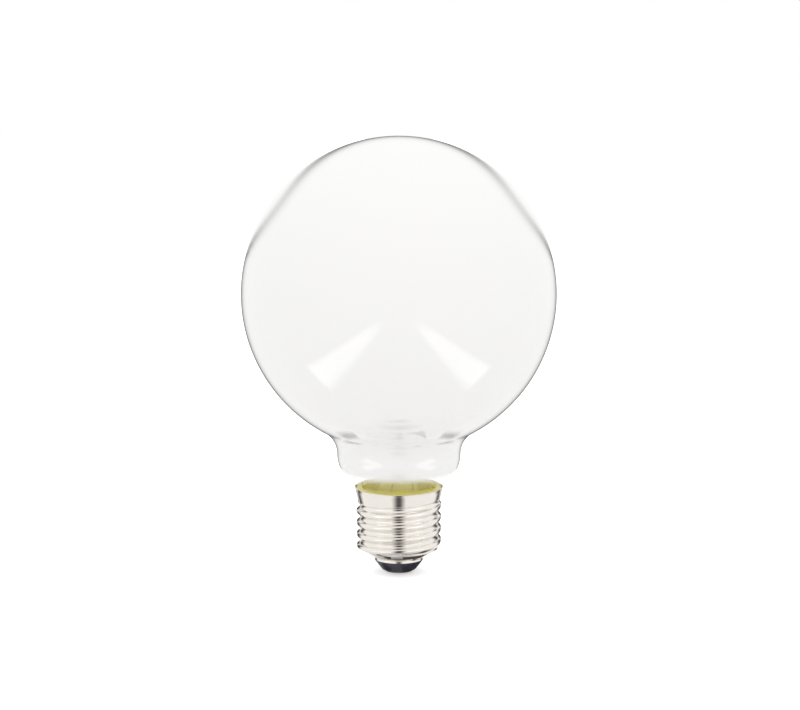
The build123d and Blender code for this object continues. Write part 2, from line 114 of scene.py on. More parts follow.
def grain(material, size, low, high, bump=0.0, stretch=(1, 1, 1)):
    """Varies the roughness from low to high by noise of this grain size, and may add a relief."""
    nodes = material.node_tree.nodes
    links = material.node_tree.links
    place = nodes.new("ShaderNodeTexCoord")
    stretched = nodes.new("ShaderNodeMapping")
    stretched.inputs["Scale"].default_value = stretch
    noise = nodes.new("ShaderNodeTexNoise")
    noise.inputs["Scale"].default_value = 1 / size
    noise.inputs["Detail"].default_value = 4
    spread = nodes.new("ShaderNodeMapRange")
    spread.inputs["From Min"].default_value = noise_low
    spread.inputs["From Max"].default_value = noise_high
    spread.inputs["To Min"].default_value = low
    spread.inputs["To Max"].default_value = high
    links.new(place.outputs["Object"], stretched.inputs["Vector"])
    links.new(stretched.outputs["Vector"], noise.inputs["Vector"])
    links.new(noise.outputs[0], spread.inputs["Value"])
    links.new(spread.outputs["Result"], nodes["Principled BSDF"].inputs["Roughness"])
    if bump:
        relief = nodes.new("ShaderNodeBump")
        relief.inputs["Strength"].default_value = 1
        relief.inputs["Distance"].default_value = bump
        links.new(noise.outputs[0], relief.inputs["Height"])
        links.new(relief.outputs["Normal"], nodes["Principled BSDF"].inputs["Normal"])


def dress(node, material):
    """Gives a CAD node one material all over."""
    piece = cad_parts[node]
    piece.data.materials.clear()
    piece.data.materials.append(material)


# %% [markdown]
# ## A helper for round pieces
#
# The globe, the cement and the contact are all round about the bulb's axis.
# Each one is a half outline turned about Z, which is what a lathe does.
# The outline is closed, so the piece gets a real wall with an inside and an outside.
# Points on the axis become one shared vertex, so there is no hole and no pinched pole.

# %% Turn an outline on the lathe
on_axis = 1e-7


def lathe(name, outline, material, steps=192):
    """A round piece from a closed outline of (radius, height) points, in metres."""
    mesh = bmesh.new()
    rings = []
    for radius, height in outline:
        if radius < on_axis:
            rings.append([mesh.verts.new((0, 0, height))] * steps)
        else:
            angles = [2 * pi * step / steps for step in range(steps)]
            places = [(radius * cos(a), radius * sin(a), height) for a in angles]
            rings.append([mesh.verts.new(place) for place in places])
    for ring, following in zip(rings, rings[1:] + rings[:1]):
        for step in range(steps):
            after = (step + 1) % steps
            around = [ring[step], ring[after], following[after], following[step]]
            corners = list(dict.fromkeys(around))
            if len(corners) > 2:
                mesh.faces.new(corners)
    bmesh.ops.recalc_face_normals(mesh, faces=mesh.faces)
    data = bpy.data.meshes.new(name)
    mesh.to_mesh(data)
    mesh.free()
    data.materials.append(material)
    piece = bpy.data.objects.new(name, data)
    scene.collection.objects.link(piece)
    print(name, "has", len(data.polygons), "faces")
    return piece


def smooth(piece, angle=35):
    """Shades a piece smoothly, and keeps edges sharper than the angle crisp."""
    for face in piece.data.polygons:
        face.use_smooth = True
    piece.data.set_sharp_from_angle(angle=radians(angle))


def stand_for(piece, slot, *nodes):
    """Lets a finished piece ride on the bulb and take the place of its CAD nodes."""
    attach(piece, "root")
    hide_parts(*nodes)


def arc(centre, radius, start, end, count):
    """Points along an arc about (radius, height), with its angles in degrees."""
    angles = [radians(start + (end - start) * step / count) for step in range(count + 1)]
    return [(centre[0] + radius * cos(a), centre[1] + radius * sin(a)) for a in angles]


# %% [markdown]
# ## The globe's outline
#
# The envelope was blown as one piece: a ball, a fold at the waist, a short bowl and a straight end
# that goes down into the cap. Each stretch is an arc that runs smoothly into the next one.
# The arcs' centres follow from that, so only the real radii are written down.

# %% Work out the envelope's arcs
glass_wall = 0.8 * MM
waist_radius = 18.8 * MM
waist_height = cap_height + 10.2 * MM
bowl_radius = 10 * MM
neck_end_radius = 11.2 * MM
neck_fold_radius = 1.6 * MM
seal_height = cap_height - 6.2 * MM

waist_drop = globe_height - waist_height
waist_excess = waist_radius**2 + waist_drop**2 - globe_radius**2
waist_fold_radius = waist_excess / (2 * (globe_radius - waist_radius))
waist_fold_reach = waist_radius + waist_fold_radius
globe_turn = degrees(atan2(waist_drop, waist_fold_reach))

bowl_centre = waist_radius - bowl_radius
neck_fold_reach = neck_end_radius + neck_fold_radius
neck_fold_offset = neck_fold_reach - bowl_centre
neck_fold_drop = sqrt((bowl_radius + neck_fold_radius) ** 2 - neck_fold_offset**2)
neck_fold_height = waist_height - neck_fold_drop
bowl_turn = degrees(atan2(neck_fold_drop, neck_fold_offset))
print("The waist's fold has a radius of", round(waist_fold_radius / MM, 2), "mm")


def envelope(inset):
    """Half outline of the envelope from its top to its open end, moved inwards by inset."""
    ball = arc((0, globe_height), globe_radius - inset, 90, -globe_turn, 110)
    ball[0] = (0, bulb_length - inset)
    waist_centre = (waist_fold_reach, waist_height)
    waist = arc(waist_centre, waist_fold_radius + inset, 180 - globe_turn, 180, 14)
    bowl = arc((bowl_centre, waist_height), bowl_radius - inset, 0, -bowl_turn, 14)
    fold_centre = (neck_fold_reach, neck_fold_height)
    fold = arc(fold_centre, neck_fold_radius + inset, 180 - bowl_turn, 180, 8)
    end = [(neck_end_radius - inset, seal_height)]
    return ball + waist[1:] + bowl[1:] + fold[1:] + end


# %% [markdown]
# ## Opal glass
#
# The glass is clear, and its inside is coated with a fine white powder, which stops short of the
# cap and leaves a clear strip. The powder hides the inside and spreads the light evenly.
# One shader shows both layers: a white body under a glossy coat. Its alpha falls to almost nothing
# where the powder stops, and at the very bottom the bare glass gets a painted reflection of the
# filaments' yellow phosphor light in its colour, with a small painted glow. These changes read the
# height in
# Object coordinates, so they stay on the glass.
#
# Real opal glass lets most light through, and that light fills the inside. Mix Shaders with Light
# Path do the same here: the rays that carry light pass through the globe and reach the stem and
# the leads, and camera and glossy rays see the white glass.

# %% Make the opal glass
coat_end = cap_height + 3.4 * MM
coat_full = cap_height + 7.6 * MM
strip_alpha = 0.05
# The next heights bound the band at the very bottom, where the phosphor's yellow light is painted
# into the glass as a painted reflection and a small painted glow.
painted_yellow_full = cap_height + 0.3 * MM
painted_yellow_end = cap_height + 1.0 * MM
painted_yellow_alpha = 0.5
painted_phosphor_glow = 0.12
coat_white = (0.93, 0.925, 0.915, 1)
painted_phosphor_light = (0.80, 0.73, 0.24, 1)

opal_glass = finish(
    "opal_glass",
    coat_white[:3],
    0.06,
    Coat_Weight=1.0,
    Coat_Roughness=0.02,
    Emission_Color=painted_phosphor_light,
)
nodes = opal_glass.node_tree.nodes
links = opal_glass.node_tree.links
body = nodes["Principled BSDF"]
place = nodes.new("ShaderNodeTexCoord")
axes = nodes.new("ShaderNodeSeparateXYZ")
links.new(place.outputs["Object"], axes.inputs[0])
print("The powder fades from", round(coat_full / MM, 1), "to", round(coat_end / MM, 1), "mm up")

# %% Change the glass with the height
def by_height(low, high, at_low, at_high):
    """A value that runs smoothly from at_low to at_high between two heights."""
    ramp = nodes.new("ShaderNodeMapRange")
    ramp.interpolation_type = "SMOOTHSTEP"
    limits = {"From Min": low, "From Max": high, "To Min": at_low, "To Max": at_high}
    for socket, value in limits.items():
        ramp.inputs[socket].default_value = value
    links.new(axes.outputs["Z"], ramp.inputs["Value"])
    return ramp.outputs["Result"]


denser = nodes.new("ShaderNodeMath")
denser.operation = "MAXIMUM"
links.new(by_height(coat_end, coat_full, strip_alpha, 1), denser.inputs[0])
links.new(by_height(painted_yellow_full, painted_yellow_end, painted_yellow_alpha, 0), denser.inputs[1])
links.new(denser.outputs[0], body.inputs["Alpha"])
# Painted reflection: the phosphor's yellow light is mixed into the base colour of the bottom band,
# and a painted glow is added there.
painted_yellow_mix = nodes.new("ShaderNodeMix")
painted_yellow_mix.data_type = "RGBA"
painted_yellow_mix.inputs["A"].default_value = painted_phosphor_light
painted_yellow_mix.inputs["B"].default_value = coat_white
links.new(by_height(painted_yellow_full, painted_yellow_end, 0, 1), painted_yellow_mix.inputs["Factor"])
links.new(painted_yellow_mix.outputs["Result"], body.inputs["Base Color"])
links.new(by_height(painted_yellow_full, painted_yellow_end, painted_phosphor_glow, 0), body.inputs["Emission Strength"])
grain(opal_glass, 12 * MM, 0.05, 0.09)

# %% Let light through it
light_through = 0.93
let_through = nodes.new("ShaderNodeBsdfTransparent")
let_through.inputs["Color"].default_value = (light_through, light_through, light_through, 1)
path = nodes.new("ShaderNodeLightPath")
surface = let_through.outputs[0]
for ray in ("Is Glossy Ray", "Is Camera Ray"):
    choose = nodes.new("ShaderNodeMixShader")
    links.new(path.outputs[ray], choose.inputs[0])
    links.new(surface, choose.inputs[1])
    links.new(body.outputs[0], choose.inputs[2])
    surface = choose.outputs[0]
links.new(surface, nodes["Material Output"].inputs["Surface"])

# %% Turn the globe
outside = envelope(0)
inside = envelope(glass_wall)
glass_globe = lathe("globe_glass", outside + inside[::-1], opal_glass, steps=256)
smooth(glass_globe)
stand_for(glass_globe, "opal_glass", "glass_globe")

# %% [markdown]
# ## The screw shell, by Geometry Nodes
#
# The cap is one thin sheet of metal, drawn into a cup and then rolled between two wheels that press
# the round thread into it. It could be swept as a helix, but then the thread would have to be sewn
# into the plain cone and collar. Its shape follows a rule, so nodes can state it directly: every
# point of a grid is wrapped round the axis, and its radius is the smaller of the drawn cup's and
# the rolled wave's. A soft minimum rounds the edge where the two meet, as rolling does.
#
# The wave is made of two equal arcs, one for the root and one for the crest. Past the collar's foot
# the wave moves outwards, so the groove gets shallower and fades away.

# %% State the shell's sizes
sheet = 0.3 * MM
lip_height = 4.4 * MM
cone_foot_radius = 7.6 * MM
cone_foot_height = 5.0 * MM
cone_top_height = 8.3 * MM
crest_radius = 13.05 * MM
pitch = 3.629 * MM
wave_arc = 1.025 * MM
skirt_end = cap_height - 4.4 * MM
shell_outline = (
    (7.7 * MM, lip_height),
    (cone_foot_radius, cone_foot_height),
    (crest_radius, cone_top_height),
    (crest_radius, 21.6 * MM),
    (12.45 * MM, 22.4 * MM),
    (13.25 * MM, 26.0 * MM),
    (rim_radius, cap_height),
)
wave_angle = asin(pitch / (4 * wave_arc))
wave_depth = 2 * wave_arc * (1 - cos(wave_angle))
root_radius = crest_radius - wave_depth
cone_slope = (crest_radius - cone_foot_radius) / (cone_top_height - cone_foot_height)
groove_overlap = 0.2 * MM
groove_low = cone_foot_height + (root_radius - cone_foot_radius) / cone_slope - groove_overlap
groove_high = skirt_end - groove_overlap
fade_per_turn = 3.3 * MM
print("The thread is", round(wave_depth / MM, 3), "mm deep")

# %% Start the node tree and its named inputs
tree = bpy.data.node_groups.new("rolled_shell", "GeometryNodeTree")
tree.is_modifier = True
tree.interface.new_socket(name="Geometry", in_out="OUTPUT", socket_type="NodeSocketGeometry")
shell_inputs = {
    "Lip Height": lip_height,
    "Cap Height": cap_height,
    "Pitch": pitch,
    "Wave Arc": wave_arc,
    "Root Radius": root_radius,
    "Crest Radius": crest_radius,
    "Groove Low": groove_low,
    "Full Turns": (groove_high - groove_low) / pitch,
    "Fade Per Turn": fade_per_turn,
    "Edge Softness": 0.12 * MM,
}
for name, value in shell_inputs.items():
    socket = tree.interface.new_socket(name=name, in_out="INPUT", socket_type="NodeSocketFloat")
    socket.default_value = value
for name, value in {"Columns": 241, "Rows": 160}.items():
    socket = tree.interface.new_socket(name=name, in_out="INPUT", socket_type="NodeSocketInt")
    socket.default_value = value
given = tree.nodes.new("NodeGroupInput").outputs


def calculate(operation, *values):
    """One Math node. Values are numbers or outputs of other nodes."""
    math_node = tree.nodes.new("ShaderNodeMath")
    math_node.operation = operation
    for socket, value in zip(math_node.inputs, values):
        if isinstance(value, (int, float)):
            socket.default_value = value
        else:
            tree.links.new(value, socket)
    return math_node.outputs[0]


# %% Lay out the grid: once round, and up from the lip to the rim
grid = tree.nodes.new("GeometryNodeMeshGrid")
grid.inputs["Size X"].default_value = 1
grid.inputs["Size Y"].default_value = 1
tree.links.new(given["Columns"], grid.inputs["Vertices X"])
tree.links.new(given["Rows"], grid.inputs["Vertices Y"])
spot = tree.nodes.new("ShaderNodeSeparateXYZ")
tree.links.new(tree.nodes.new("GeometryNodeInputPosition").outputs[0], spot.inputs[0])
around = calculate("ADD", spot.outputs["X"], 0.5)
up = calculate("ADD", spot.outputs["Y"], 0.5)
shell_span = calculate("SUBTRACT", given["Cap Height"], given["Lip Height"])
height = calculate("MULTIPLY_ADD", up, shell_span, given["Lip Height"])

# %% Read the drawn cup's radius from its outline
curve_scale = 20 * MM
cup = tree.nodes.new("ShaderNodeFloatCurve")
points = cup.mapping.curves[0].points
while len(points) < len(shell_outline):
    points.new(0.5, 0.5)
for point, (radius, level) in zip(points, shell_outline):
    point.location = ((level - lip_height) / (cap_height - lip_height), radius / curve_scale)
    point.handle_type = "VECTOR"
cup.mapping.update()
tree.links.new(up, cup.inputs["Value"])
cup_radius = calculate("MULTIPLY", cup.outputs["Value"], curve_scale)

# %% Work out the rolled wave's radius
turns_from_start = 0.25
turned = calculate("FRACT", calculate("ADD", around, turns_from_start))
climbed = calculate("DIVIDE", calculate("SUBTRACT", height, given["Groove Low"]), given["Pitch"])
phase = calculate("SUBTRACT", climbed, turned)
groove_number = calculate("ROUND", phase)
off_centre = calculate("SUBTRACT", phase, groove_number)
distance = calculate("MULTIPLY", calculate("ABSOLUTE", off_centre), given["Pitch"])
to_crest = calculate("MULTIPLY_ADD", given["Pitch"], 0.5, calculate("MULTIPLY", distance, -1))
arc_squared = calculate("POWER", given["Wave Arc"], 2)


def arc_height(across):
    """Height of the wave's arc at this distance from its middle."""
    square = calculate("MULTIPLY", across, across)
    return calculate("SQRT", calculate("MAXIMUM", calculate("SUBTRACT", arc_squared, square), 0))


root_centre = calculate("ADD", given["Root Radius"], given["Wave Arc"])
crest_centre = calculate("SUBTRACT", given["Crest Radius"], given["Wave Arc"])
in_root = calculate("SUBTRACT", root_centre, arc_height(distance))
in_crest = calculate("ADD", crest_centre, arc_height(to_crest))
nearer_root = calculate("LESS_THAN", distance, to_crest)
wave = tree.nodes.new("ShaderNodeMix")
tree.links.new(nearer_root, wave.inputs["Factor"])
tree.links.new(in_crest, wave.inputs["A"])
tree.links.new(in_root, wave.inputs["B"])

# %% Fade the groove out above the last full turn
turns = calculate("ADD", turned, groove_number)
past_end = calculate("MAXIMUM", calculate("SUBTRACT", turns, given["Full Turns"]), 0)
faded = calculate("MULTIPLY_ADD", past_end, given["Fade Per Turn"], wave.outputs["Result"])
radius = calculate("SMOOTH_MIN", cup_radius, faded, given["Edge Softness"])

# %% Wrap the grid round the axis and close its seam
angle = calculate("MULTIPLY", around, 2 * pi)
wrapped = tree.nodes.new("ShaderNodeCombineXYZ")
tree.links.new(calculate("MULTIPLY", radius, calculate("COSINE", angle)), wrapped.inputs["X"])
tree.links.new(calculate("MULTIPLY", radius, calculate("SINE", angle)), wrapped.inputs["Y"])
tree.links.new(height, wrapped.inputs["Z"])
moved = tree.nodes.new("GeometryNodeSetPosition")
tree.links.new(grid.outputs["Mesh"], moved.inputs["Geometry"])
tree.links.new(wrapped.outputs[0], moved.inputs["Position"])
seam_gap = 0.001 * MM
joined = tree.nodes.new("GeometryNodeMergeByDistance")
joined.inputs["Distance"].default_value = seam_gap
tree.links.new(moved.outputs[0], joined.inputs["Geometry"])

# %% [markdown]
# ## Nickel plate
#
# The sheet is brass under a bright nickel plate. Nickel is a slightly warm metal, and rolling
# leaves it a little less sharp than a mirror. The rolls also leave faint traces round the cap, so
# the grain is stretched sideways: it is scaled six times finer along the axis.

# %% Finish the shell
nickel_plate = finish("nickel_plate", (0.86, 0.825, 0.775), 0.10, Metallic=1.0)
grain(nickel_plate, 2 * MM, 0.07, 0.14, bump=0.004 * MM, stretch=(1, 1, 6))
shaded = tree.nodes.new("GeometryNodeSetShadeSmooth")
real = tree.nodes.new("GeometryNodeRealizeInstances")
coated = tree.nodes.new("GeometryNodeSetMaterial")
coated.inputs["Material"].default_value = nickel_plate
last = tree.nodes.new("NodeGroupOutput")
chain = [joined, shaded, real, coated, last]
for before, after in zip(chain, chain[1:]):
    tree.links.new(before.outputs[0], after.inputs[0])


def make_by_nodes(name, tree, settings, *modifiers):
    """Runs a node tree and any further modifiers, and keeps the result as a plain mesh piece."""
    carrier = bpy.data.objects.new(name + "_carrier", bpy.data.meshes.new(name + "_carrier"))
    scene.collection.objects.link(carrier)
    modifier = carrier.modifiers.new("shape", "NODES")
    modifier.node_group = tree
    for item in tree.interface.items_tree:
        if item.in_out == "INPUT" and item.name in settings:
            modifier[item.identifier] = settings[item.name]
    for kind, values in modifiers:
        extra = carrier.modifiers.new(kind.lower(), kind)
        for key, value in values.items():
            setattr(extra, key, value)
    view = bpy.context.evaluated_depsgraph_get()
    data = bpy.data.meshes.new_from_object(carrier.evaluated_get(view), depsgraph=view)
    bpy.data.objects.remove(carrier)
    data.name = name
    piece = bpy.data.objects.new(name, data)
    scene.collection.objects.link(piece)
    print(name, "has", len(data.polygons), "faces")
    return piece


wall = {"thickness": sheet, "offset": -1, "use_rim": True, "use_even_offset": True}
rolled_shell = make_by_nodes("rolled_shell", tree, shell_inputs, ("SOLIDIFY", wall))
smooth(rolled_shell, 50)
stand_for(rolled_shell, "nickel_plate", "screw_shell")

# %% [markdown]
# ## Cement, insulator and contact
#
# A yellowish cement bonds the glass to the shell and shows as a thin line at the rim. The foot of
# the shell is closed by a dark insulator, and the centre contact is a round plate and a low pin
# head. All four are turned, like the globe.

# %% Lay the cement's line
cement = finish("cement", (0.84, 0.77, 0.30), 0.6)
grain(cement, 0.5 * MM, 0.5, 0.75, bump=0.03 * MM)
cement_top = cap_height - 0.25 * MM
cement_foot = cement_top - 2.2 * MM
cement_foot_radius = 12.3 * MM
cement_top_radius = 12.95 * MM
crown_radius = neck_end_radius + 0.9 * MM
crown_height = cement_top + 0.1 * MM
cement_line = lathe(
    "cement_line",
    [
        (neck_end_radius, cement_foot),
        (cement_foot_radius, cement_foot),
        (cement_top_radius, cement_top),
        (crown_radius, crown_height),
        (neck_end_radius, cement_top),
    ],
    cement,
)
smooth(cement_line)
stand_for(cement_line, "cement", "cap_cement")

# %% Mould the insulator
insulator_radius = 7.4 * MM
insulator_side = 3.9 * MM
foot_radius = 5.1 * MM
foot_height = 0.9 * MM
foot_round = 1.1 * MM
plate_radius = 4.4 * MM
plate_top = foot_height + 0.35 * MM
insulator_top = 6.5 * MM

slope = atan2(insulator_side - foot_height, insulator_radius - foot_radius)
cut_back = foot_round * (1 - cos(slope)) / sin(slope)
round_centre = (foot_radius - cut_back, foot_height + foot_round)
black_insulator = finish(
    "black_insulator", (0.036, 0.032, 0.052), 0.3, Coat_Weight=0.2, Coat_Roughness=0.2
)
grain(black_insulator, 0.6 * MM, 0.26, 0.42, bump=0.01 * MM)
insulator = lathe(
    "moulded_insulator",
    [(0, plate_top), (plate_radius, plate_top), (plate_radius, foot_height)]
    + arc(round_centre, foot_round, -90, degrees(slope) - 90, 8)
    + [
        (insulator_radius, insulator_side),
        (insulator_radius, insulator_top),
        (0, insulator_top),
    ],
    black_insulator,
)
smooth(insulator, 40)
stand_for(insulator, "black_insulator", "cap_insulator")

# %% Press the contact plate
# Painted shade: the contact's metal gets a dark colour that stands for the shade on the bulb's
# underside, far darker than plated brass.
plated_brass = finish("plated_brass", (0.30, 0.29, 0.25), 0.35, Metallic=1.0)
grain(plated_brass, 0.8 * MM, 0.28, 0.45, bump=0.01 * MM)
plate_bottom = plate_top - 0.7 * MM
plate_edge = 0.15 * MM
shank_radius = 0.9 * MM
plate = lathe(
    "pressed_plate",
    [
        (shank_radius, plate_top),
        (shank_radius, plate_bottom),
        (plate_radius - plate_edge, plate_bottom),
        (plate_radius, plate_bottom + plate_edge),
        (plate_radius, plate_top),
    ],
    plated_brass,
)
smooth(plate)
stand_for(plate, "plated_brass", "contact_plate")

# %% Turn the pin, with a low round head
flat_radius = 1.2 * MM
dome_radius = 1.75 * MM
dome_height = 0.1 * MM
head_radius = 2.2 * MM
head_edge_height = 0.35 * MM
shank_top = 4.6 * MM
pin = lathe(
    "contact_pin_head",
    [
        (0, 0),
        (flat_radius, 0),
        (dome_radius, dome_height),
        (head_radius, head_edge_height),
        (head_radius, plate_bottom),
        (shank_radius, plate_bottom),
        (shank_radius, shank_top),
        (0, shank_top),
    ],
    plated_brass,
)
smooth(pin, 40)
stand_for(pin, "plated_brass", "contact_pin")

# %% [markdown]
# ## What is inside
#
# The opal coat hides nearly all of it, but the clear strip shows the flared glass stem and the two
# leads. The CAD solids are right as they are, and only need their finishes. The stem's glass has
# the yellow light of the phosphor seen in it painted into its colour, with a small painted glow.

# %% Dress the inner pieces
# Painted light: the stem glass's yellow colour and its glow stand in for the phosphor's light seen
# in it.
clear_glass = finish(
    "clear_glass",
    (0.84, 0.75, 0.16),
    0.08,
    Alpha=0.3,
    Emission_Color=painted_phosphor_light,
    Emission_Strength=0.15,
)
lead_wire = finish("lead_wire", (0.07, 0.06, 0.045), 0.35, Metallic=0.4)
phosphor = finish("phosphor", (0.80, 0.58, 0.12), 0.7)
board_laminate = finish("board_laminate", (0.62, 0.55, 0.30), 0.5)
chip_moulding = finish("chip_moulding", (0.03, 0.03, 0.03), 0.5)
capacitor_can = finish("capacitor_can", (0.04, 0.04, 0.05), 0.35)
ferrite = finish("ferrite", (0.06, 0.06, 0.06), 0.7)
resistor_coating = finish("resistor_coating", (0.21, 0.34, 0.40), 0.5)
tinned_wire = finish("tinned_wire", (0.62, 0.62, 0.62), 0.25, Metallic=1.0)
solder = finish("solder", (0.58, 0.58, 0.58), 0.3, Metallic=1.0)

# %% Give each inner finish its grain: size, two roughnesses and relief, in millimetres
inner_grain = (
    (clear_glass, 3.0, 0.05, 0.12, 0),
    (lead_wire, 0.4, 0.28, 0.45, 0.004),
    (phosphor, 0.25, 0.60, 0.85, 0.03),
    (board_laminate, 0.5, 0.42, 0.60, 0.01),
    (chip_moulding, 0.2, 0.45, 0.60, 0.01),
    (capacitor_can, 1.0, 0.30, 0.42, 0.01),
    (ferrite, 0.15, 0.60, 0.80, 0.02),
    (resistor_coating, 0.3, 0.40, 0.60, 0.01),
    (tinned_wire, 0.5, 0.20, 0.35, 0.005),
    (solder, 0.3, 0.22, 0.40, 0.01),
)
for material, size, low, high, bump in inner_grain:
    grain(material, size * MM, low, high, bump=bump * MM)

# %% Put them on the nodes
inner_finishes = {
    "glass_stem": clear_glass,
    "exhaust_tube": clear_glass,
    "driver_board": board_laminate,
    "bridge_rectifier": chip_moulding,
    "driver_chip": chip_moulding,
    "sense_resistors": chip_moulding,
    "bulk_capacitor": capacitor_can,
    "driver_inductor": ferrite,
    "fuse_resistor": resistor_coating,
    "live_wire": tinned_wire,
    "neutral_wire": tinned_wire,
    "solder_joints": solder,
    "filament_end_tabs": lead_wire,
}
for wire in ("lead_wire_left", "lead_wire_right", "lower_bus_left", "lower_bus_right"):
    inner_finishes[wire] = lead_wire
for link in ("upper_link_front", "upper_link_back"):
    inner_finishes[link] = lead_wire
for number in range(1, 5):
    inner_finishes[f"led_filament_{number}"] = phosphor
for node, material in inner_finishes.items():
    dress(node, material)
print("Dressed", len(inner_finishes), "inner nodes")

# %% [markdown]
# ## The studio
#
# The bulb stands on a white sheet in soft, even light. To the camera, the sheet and the air behind
# it are one plain white. Light Path tells the shader which kind of ray is asking: camera, glossy
# and transmission rays see that white, and only the rays that light the object get the true level.

# %% Light the world
world = bpy.data.worlds.new("studio")
scene.world = world
world.use_nodes = True
light_level = 0.967


def larger(tree, one, two):
    """The larger of two values."""
    node = tree.nodes.new("ShaderNodeMath")
    node.operation = "MAXIMUM"
    tree.links.new(one, node.inputs[0])
    tree.links.new(two, node.inputs[1])
    return node.outputs[0]


def seen_directly(tree):
    """1 for camera, glossy and transmission rays, and 0 for the rays that light the object."""
    path = tree.nodes.new("ShaderNodeLightPath").outputs
    mirrored = larger(tree, path["Is Glossy Ray"], path["Is Transmission Ray"])
    return larger(tree, path["Is Camera Ray"], mirrored)


def between(tree, factor, low, high):
    """A value that is low where the factor is 0 and high where it is 1."""
    level = tree.nodes.new("ShaderNodeMapRange")
    level.inputs["To Min"].default_value = low
    level.inputs["To Max"].default_value = high
    tree.links.new(factor, level.inputs["Value"])
    return level.outputs["Result"]


background = world.node_tree.nodes["Background"]
background.inputs["Color"].default_value = (1, 1, 1, 1)
level = between(world.node_tree, seen_directly(world.node_tree), light_level, 1)
world.node_tree.links.new(level, background.inputs["Strength"])
print("The world lights the bulb at", light_level)

# %% [markdown]
# ## The floor
#
# A matt white plane catches the bulb's soft shadow. To the camera it glows as well, which lifts it
# to the white of the background, so no horizon shows and only the shadow stays. To glass and metal
# it glows much less, so that its mirror image is as white as the air.

# %% Lay the floor
def flat_shape(name, corners, material):
    """A flat stage piece from its corners, in metres."""
    mesh = bpy.data.meshes.new(name)
    mesh.from_pydata(corners, [], [range(len(corners))])
    mesh.materials.append(material)
    return bpy.data.objects.new(name, mesh)


def place_on_stage(shape):
    """Adds a piece of the studio, which isn't part of the bulb."""
    scene.collection.objects.link(shape)


reach = 3.0
camera_glow = 0.5
mirror_glow = 0.1
floor_looks = {"Specular_IOR_Level": 0.0, "Emission_Color": (1, 1, 1, 1)}
floor_white = finish("floor_white", (0.92, 0.92, 0.92), 0.9, **floor_looks)
floor_tree = floor_white.node_tree
path = floor_tree.nodes.new("ShaderNodeLightPath").outputs
to_camera = between(floor_tree, path["Is Camera Ray"], 0, camera_glow)
to_mirrors = between(floor_tree, seen_directly(floor_tree), 0, mirror_glow)
floor_shader = floor_tree.nodes["Principled BSDF"]
glow = larger(floor_tree, to_camera, to_mirrors)
floor_tree.links.new(glow, floor_shader.inputs["Emission Strength"])
floor_corners = [(-reach, -reach, 0), (reach, -reach, 0), (reach, reach, 0), (-reach, reach, 0)]
place_on_stage(flat_shape("floor", floor_corners, floor_white))

# %% Hang the lamp, a wide softbox above the front
lamp = bpy.data.lights.new("top_softbox", "AREA")
lamp.size = 0.8
lamp.energy = 0.9
softbox = bpy.data.objects.new("top_softbox", lamp)
softbox.location = (0.1, -0.3, 1.0)
towards_bulb = Vector((0, 0, bulb_length / 2)) - softbox.location
softbox.rotation_euler = towards_bulb.to_track_quat("-Z", "Y").to_euler()
softbox.visible_glossy = False
scene.collection.objects.link(softbox)
print("The softbox gives", round(lamp.energy, 2), "W")

# %% [markdown]
# ## Cards for the reflections
#
# Glass and metal show mostly what stands around them. In the photograph, two bright strips run
# across the globe's lower half, its rim is drawn by a thin dark line, and each thread of the cap
# has a dark glint in its middle. A studio gets these with cards: two bright strips on the floor in
# front, a narrow dark card at the foot, a dark flag on each side and a dark ring behind the bulb.
# Here each card is seen by glossy rays only, so it adds no light and no shadow.

# %% A card that only reflections see
def card_finish(name, brightness, color=(1, 1, 1)):
    """A plain glow at this brightness, where 1 is white."""
    glowing = {"Emission_Color": (*color, 1), "Emission_Strength": brightness}
    return finish(name, (0, 0, 0), 1, Specular_IOR_Level=0.0, **glowing)


def graded_finish(name, color=(1, 1, 1)):
    """A card's glow that each point of its mesh sets in its glow attribute."""
    material = card_finish(name, 1.0, color)
    card_tree = material.node_tree
    reader = card_tree.nodes.new("ShaderNodeAttribute")
    reader.attribute_name = "glow"
    shader = card_tree.nodes["Principled BSDF"]
    card_tree.links.new(reader.outputs["Fac"], shader.inputs["Emission Strength"])
    return material


# %% Put a card on the stage
def show_in_reflections_only(shape):
    """Puts a card on the stage so that only glossy rays meet it."""
    place_on_stage(shape)
    shape.visible_camera = False
    shape.visible_diffuse = False
    shape.visible_transmission = False
    shape.visible_shadow = False


card_height = 0.3 * MM


def graded_card(name, rows, levels, material, closed=False):
    """A card whose mesh is a grid: rows of points in metres, each with its own glow."""
    count = len(rows[0])
    faces = []
    for row in range(len(rows) - 1):
        for column in range(count if closed else count - 1):
            after = (column + 1) % count
            low, high = row * count, (row + 1) * count
            faces.append([low + column, low + after, high + after, high + column])
    mesh = bpy.data.meshes.new(name)
    mesh.from_pydata([point for row in rows for point in row], [], faces)
    glow = mesh.attributes.new("glow", "FLOAT", "POINT")
    glow.data.foreach_set("value", [level for row in levels for level in row])
    mesh.materials.append(material)
    show_in_reflections_only(bpy.data.objects.new(name, mesh))
    print(name, "has", len(mesh.polygons), "faces")


def floor_card(name, left, near, right, far, material):
    """A rectangular card of one brightness just above the floor, in millimetres."""
    outline = [(left, near), (right, near), (right, far), (left, far)]
    corners = [(x * MM, y * MM, card_height) for x, y in outline]
    show_in_reflections_only(flat_shape(name, corners, material))


# %% Lay the bright strips, with soft edges
def soft_edge(share, width):
    """Rises from 0 at both ends of a 0 to 1 share to 1 further in."""
    return min(1, share / width, (1 - share) / width)


strip_gap = 60
strip_width = 60
strip_start = 38
strip_length = 420
strip_height = 0.2
strip_brightness = 2.1
bright_strip = graded_finish("bright_strip")
across = [step / 8 for step in range(9)]
along = [(step / 24) ** 2 for step in range(25)]


def strip_glow(a, b):
    """How bright the strip is at these shares of its width and its length."""
    ends = min(1, b / 0.012, (1 - b) / 0.6)
    return 1 + (strip_brightness - 1) * soft_edge(a, 0.2) * ends


